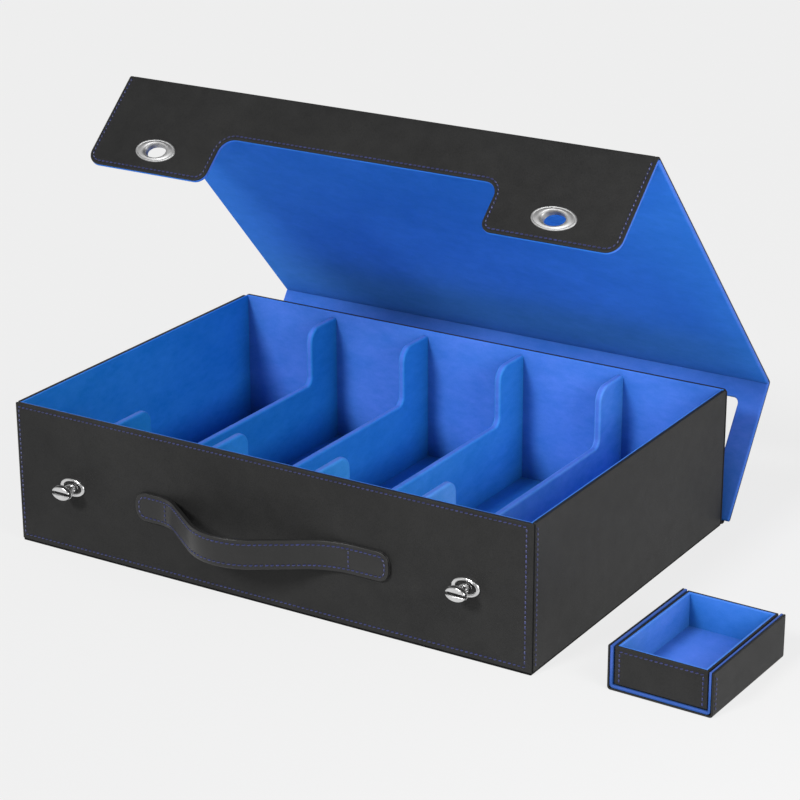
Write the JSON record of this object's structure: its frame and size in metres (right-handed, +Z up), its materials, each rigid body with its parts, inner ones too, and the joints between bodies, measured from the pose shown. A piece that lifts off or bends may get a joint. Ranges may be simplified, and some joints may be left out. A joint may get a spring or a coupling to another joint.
{
  "type": "trading card storage box",
  "caption": "Leather-covered card storage case with lined compartments, a folding lid with turn locks, a strap handle and a small accessory tray box.",
  "frame": {"origin": "centre of the case's underside, on the table", "axes": "+X along the case's width to the right, -Y towards the front with the handle, +Z up"},
  "size_m": [0.5192, 0.37, 0.2926],
  "materials": {
    "black_leather": "matte",
    "blue_microfibre": "matte",
    "grey_board": "matte",
    "strap_leather": "matte",
    "chrome_hardware": "polished"
  },
  "bodies": {
    "case": {"front_board": "grey_board", "rear_board": "grey_board", "left_board": "grey_board", "right_board": "grey_board", "base_board": "grey_board", "front_skin": "black_leather", "rear_skin": "black_leather", "left_skin": "black_leather", "right_skin": "black_leather", "base_skin": "black_leather", "rear_hinge_strip": "black_leather", "front_lining": "blue_microfibre", "rear_lining": "blue_microfibre", "left_lining": "blue_microfibre", "right_lining": "blue_microfibre", "base_lining": "blue_microfibre", "divider_1_board": "grey_board", "divider_1_lining": "blue_microfibre", "divider_2_board": "grey_board", "divider_2_lining": "blue_microfibre", "divider_3_board": "grey_board", "divider_3_lining": "blue_microfibre", "divider_4_board": "grey_board", "divider_4_lining": "blue_microfibre", "handle_backing": "strap_leather", "handle_strap": "strap_leather", "lock_base_left": "chrome_hardware", "lock_base_right": "chrome_hardware", "lock_backplate_left": "chrome_hardware", "lock_backplate_right": "chrome_hardware"},
    "rear_panel": {"rear_panel_board": "grey_board", "rear_panel_skin": "black_leather", "rear_panel_lining": "blue_microfibre"},
    "top_panel": {"top_panel_board": "grey_board", "top_panel_skin": "black_leather", "top_panel_lining": "blue_microfibre"},
    "flap": {"flap_board": "grey_board", "flap_skin": "black_leather", "flap_lining": "blue_microfibre", "eyelet_left": "chrome_hardware", "eyelet_right": "chrome_hardware", "eyelet_washer_left": "chrome_hardware", "eyelet_washer_right": "chrome_hardware"},
    "left_knob": {"lock_knob_left": "chrome_hardware"},
    "right_knob": {"lock_knob_right": "chrome_hardware"},
    "accessory_cover": {"cover_skin": "black_leather", "cover_board": "grey_board", "cover_lining": "blue_microfibre"},
    "accessory_tray": {"tray_skin": "black_leather", "tray_board": "grey_board", "tray_lining": "blue_microfibre"}
  },
  "joints": [
    {"name": "rear_panel_hinge", "type": "hinge", "parent": "case", "child": "rear_panel", "pos_m": [0, 0.139, 0.00035], "axis": [-1, 0, 0], "range_deg": [-34.5, 55]},
    {"name": "top_panel_fold", "type": "hinge", "parent": "rear_panel", "child": "top_panel", "pos_m": [0, 0.19776, 0.08585], "axis": [-1, 0, 0], "range_deg": [-13.2, 76.8]},
    {"name": "flap_fold", "type": "hinge", "parent": "top_panel", "child": "flap", "pos_m": [0, 0.00966, 0.29258], "axis": [-1, 0, 0], "range_deg": [0, 90]},
    {"name": "left_knob_turn", "type": "hinge", "parent": "case", "child": "left_knob", "pos_m": [-0.1515, -0.1471, 0.0485], "axis": [0, 1, 0], "range_deg": [0, 90]},
    {"name": "right_knob_turn", "type": "hinge", "parent": "case", "child": "right_knob", "pos_m": [0.1515, -0.1471, 0.0485], "axis": [0, 1, 0], "range_deg": [0, 90]},
    {"name": "accessory_lift", "type": "slide", "parent": "case", "child": "accessory_cover", "axis": [0, 0, 1], "range_m": [0, 0.12]},
    {"name": "accessory_tray_lift", "type": "slide", "parent": "accessory_cover", "child": "accessory_tray", "axis": [0, 0, 1], "range_m": [0, 0.05]}
  ]
}
